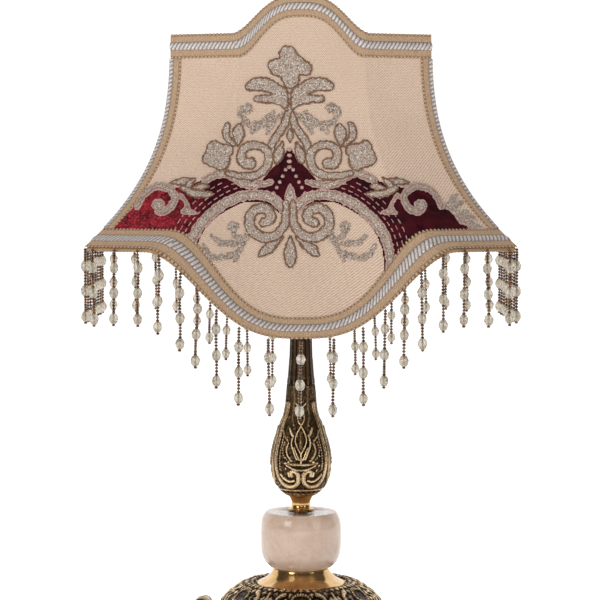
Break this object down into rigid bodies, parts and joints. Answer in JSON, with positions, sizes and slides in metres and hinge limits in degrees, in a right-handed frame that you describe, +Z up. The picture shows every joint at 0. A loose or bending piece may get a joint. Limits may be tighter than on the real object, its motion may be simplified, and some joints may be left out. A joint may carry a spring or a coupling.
{
  "type": "fringed fabric shade table lamp",
  "caption": "Table lamp with a cast brass and marble stand and an embroidered fabric bell shade edged with braid and a bead fringe.",
  "frame": {"origin": "on the stand's axis at table level, under the middle of the shade", "axes": "+Z up, -Y towards the front face of the shade, +X to the right seen from the front"},
  "size_m": [0.3046, 0.2236, 0.4795],
  "materials": {
    "aged_brass": "antique cast brass, dark in the hollows, rubbed bright on the relief",
    "polished_brass": "polished",
    "marble": "polished pinkish beige marble with faint veins",
    "felt": "wool felt",
    "zinc_steel": "zinc plated",
    "cast_iron": "rough casting",
    "black_rubber": "soft matte",
    "ivory_bakelite": "moulded, satin gloss",
    "bulb_glass": "frosted",
    "white_wire": "white powder coat",
    "cream_fabric": "ribbed silk blend with a faint moire",
    "lining_cotton": "plain weave",
    "burgundy_velvet": "cut pile with a crimson sheen",
    "metallic_braid": "woven braid with a silver thread centre",
    "bead_glass": "faceted champagne beads with bronze seed beads"
  },
  "bodies": {
    "lamp": {"base_dome": "aged_brass", "base_plinth": "aged_brass", "scroll_feet": "aged_brass", "felt_pads": "felt", "base_cover": "zinc_steel", "ballast_disc": "cast_iron", "cord_grommet": "black_rubber", "base_nut": "zinc_steel", "base_washer": "zinc_steel", "threaded_tube": "zinc_steel", "base_collar": "polished_brass", "marble_drum": "marble", "neck_disc": "aged_brass", "neck_spool": "aged_brass", "stem_baluster": "aged_brass", "stem_neck": "aged_brass", "holder_cap": "polished_brass", "holder_body": "ivory_bakelite", "holder_insert": "ivory_bakelite", "holder_shell": "polished_brass", "holder_contact": "zinc_steel", "terminal_screws": "zinc_steel"},
    "clamp_ring": {"shade_clamp_ring": "ivory_bakelite"},
    "bulb": {"bulb_cap": "zinc_steel", "bulb_glass": "bulb_glass", "bulb_mount": "bulb_glass"},
    "shade": {"fitter_ring": "white_wire", "fitter_arms": "white_wire", "frame_top_wire": "white_wire", "frame_bottom_wire": "white_wire", "frame_ribs": "white_wire", "lining": "lining_cotton", "cover_front": "cream_fabric", "cover_back": "cream_fabric", "cover_left": "cream_fabric", "cover_right": "cream_fabric", "velvet_front": "burgundy_velvet", "velvet_back": "burgundy_velvet", "top_braid": "metallic_braid", "bottom_braid": "metallic_braid", "ridge_braids": "metallic_braid", "fringe_tape": "metallic_braid"},
    "fringe_front_0": {"fringe_front_0": "bead_glass"},
    "fringe_front_1": {"fringe_front_1": "bead_glass"},
    "fringe_front_2": {"fringe_front_2": "bead_glass"},
    "fringe_front_3": {"fringe_front_3": "bead_glass"},
    "fringe_front_4": {"fringe_front_4": "bead_glass"},
    "fringe_front_5": {"fringe_front_5": "bead_glass"},
    "fringe_back_0": {"fringe_back_0": "bead_glass"},
    "fringe_back_1": {"fringe_back_1": "bead_glass"},
    "fringe_back_2": {"fringe_back_2": "bead_glass"},
    "fringe_back_3": {"fringe_back_3": "bead_glass"},
    "fringe_back_4": {"fringe_back_4": "bead_glass"},
    "fringe_back_5": {"fringe_back_5": "bead_glass"},
    "fringe_corner_front_right": {"fringe_corner_front_right": "bead_glass"},
    "fringe_corner_back_right": {"fringe_corner_back_right": "bead_glass"},
    "fringe_corner_back_left": {"fringe_corner_back_left": "bead_glass"},
    "fringe_corner_front_left": {"fringe_corner_front_left": "bead_glass"},
    "fringe_right": {"fringe_right": "bead_glass"},
    "fringe_left": {"fringe_left": "bead_glass"}
  },
  "joints": [
    {"name": "shade_turn", "type": "hinge", "parent": "lamp", "child": "shade", "pos_m": [0, 0, 0.331], "axis": [0, 0, 1], "continuous": true},
    {"name": "clamp_ring_turn", "type": "hinge", "parent": "lamp", "child": "clamp_ring", "pos_m": [0, 0, 0.3365], "axis": [0, 0, 1], "continuous": true},
    {"name": "bulb_turn", "type": "hinge", "parent": "lamp", "child": "bulb", "pos_m": [0, 0, 0.34], "axis": [0, 0, 1], "continuous": true},
    {"name": "fringe_front_0_swing", "type": "hinge", "parent": "shade", "child": "fringe_front_0", "pos_m": [0, -0.1086, 0.2455], "axis": [1, 0, 0], "range_deg": [-15, 15]},
    {"name": "fringe_front_1_swing", "type": "hinge", "parent": "shade", "child": "fringe_front_1", "pos_m": [0, -0.1086, 0.24706], "axis": [1, 0, 0], "range_deg": [-15, 15]},
    {"name": "fringe_front_2_swing", "type": "hinge", "parent": "shade", "child": "fringe_front_2", "pos_m": [0, -0.1086, 0.25489], "axis": [1, 0, 0], "range_deg": [-15, 15]},
    {"name": "fringe_front_3_swing", "type": "hinge", "parent": "shade", "child": "fringe_front_3", "pos_m": [0, -0.1086, 0.26672], "axis": [1, 0, 0], "range_deg": [-15, 15]},
    {"name": "fringe_front_4_swing", "type": "hinge", "parent": "shade", "child": "fringe_front_4", "pos_m": [0, -0.1086, 0.28003], "axis": [1, 0, 0], "range_deg": [-15, 15]},
    {"name": "fringe_front_5_swing", "type": "hinge", "parent": "shade", "child": "fringe_front_5", "pos_m": [0, -0.1086, 0.29161], "axis": [1, 0, 0], "range_deg": [-15, 15]},
    {"name": "fringe_back_0_swing", "type": "hinge", "parent": "shade", "child": "fringe_back_0", "pos_m": [0, 0.1086, 0.2455], "axis": [-1, 0, 0], "range_deg": [-15, 15]},
    {"name": "fringe_back_1_swing", "type": "hinge", "parent": "shade", "child": "fringe_back_1", "pos_m": [0, 0.1086, 0.24706], "axis": [-1, 0, 0], "range_deg": [-15, 15]},
    {"name": "fringe_back_2_swing", "type": "hinge", "parent": "shade", "child": "fringe_back_2", "pos_m": [0, 0.1086, 0.25489], "axis": [-1, 0, 0], "range_deg": [-15, 15]},
    {"name": "fringe_back_3_swing", "type": "hinge", "parent": "shade", "child": "fringe_back_3", "pos_m": [0, 0.1086, 0.26672], "axis": [-1, 0, 0], "range_deg": [-15, 15]},
    {"name": "fringe_back_4_swing", "type": "hinge", "parent": "shade", "child": "fringe_back_4", "pos_m": [0, 0.1086, 0.28003], "axis": [-1, 0, 0], "range_deg": [-15, 15]},
    {"name": "fringe_back_5_swing", "type": "hinge", "parent": "shade", "child": "fringe_back_5", "pos_m": [0, 0.1086, 0.29161], "axis": [-1, 0, 0], "range_deg": [-15, 15]},
    {"name": "fringe_corner_front_right_swing", "type": "hinge", "parent": "shade", "child": "fringe_corner_front_right", "pos_m": [0.12125, -0.09378, 0.307], "axis": [0.8828, 0.4697, 0], "range_deg": [-8, 8]},
    {"name": "fringe_corner_back_right_swing", "type": "hinge", "parent": "shade", "child": "fringe_corner_back_right", "pos_m": [0.12125, 0.09378, 0.307], "axis": [-0.8828, 0.4697, 0], "range_deg": [-8, 8]},
    {"name": "fringe_corner_back_left_swing", "type": "hinge", "parent": "shade", "child": "fringe_corner_back_left", "pos_m": [-0.12125, 0.09378, 0.307], "axis": [-0.8828, -0.4697, 0], "range_deg": [-8, 8]},
    {"name": "fringe_corner_front_left_swing", "type": "hinge", "parent": "shade", "child": "fringe_corner_front_left", "pos_m": [-0.12125, -0.09378, 0.307], "axis": [0.8828, -0.4697, 0], "range_deg": [-8, 8]},
    {"name": "fringe_right_swing", "type": "hinge", "parent": "shade", "child": "fringe_right", "pos_m": [0.1491, 0, 0.307], "axis": [0, 1, 0], "range_deg": [-8, 8]},
    {"name": "fringe_left_swing", "type": "hinge", "parent": "shade", "child": "fringe_left", "pos_m": [-0.1491, 0, 0.307], "axis": [0, -1, 0], "range_deg": [-8, 8]}
  ]
}
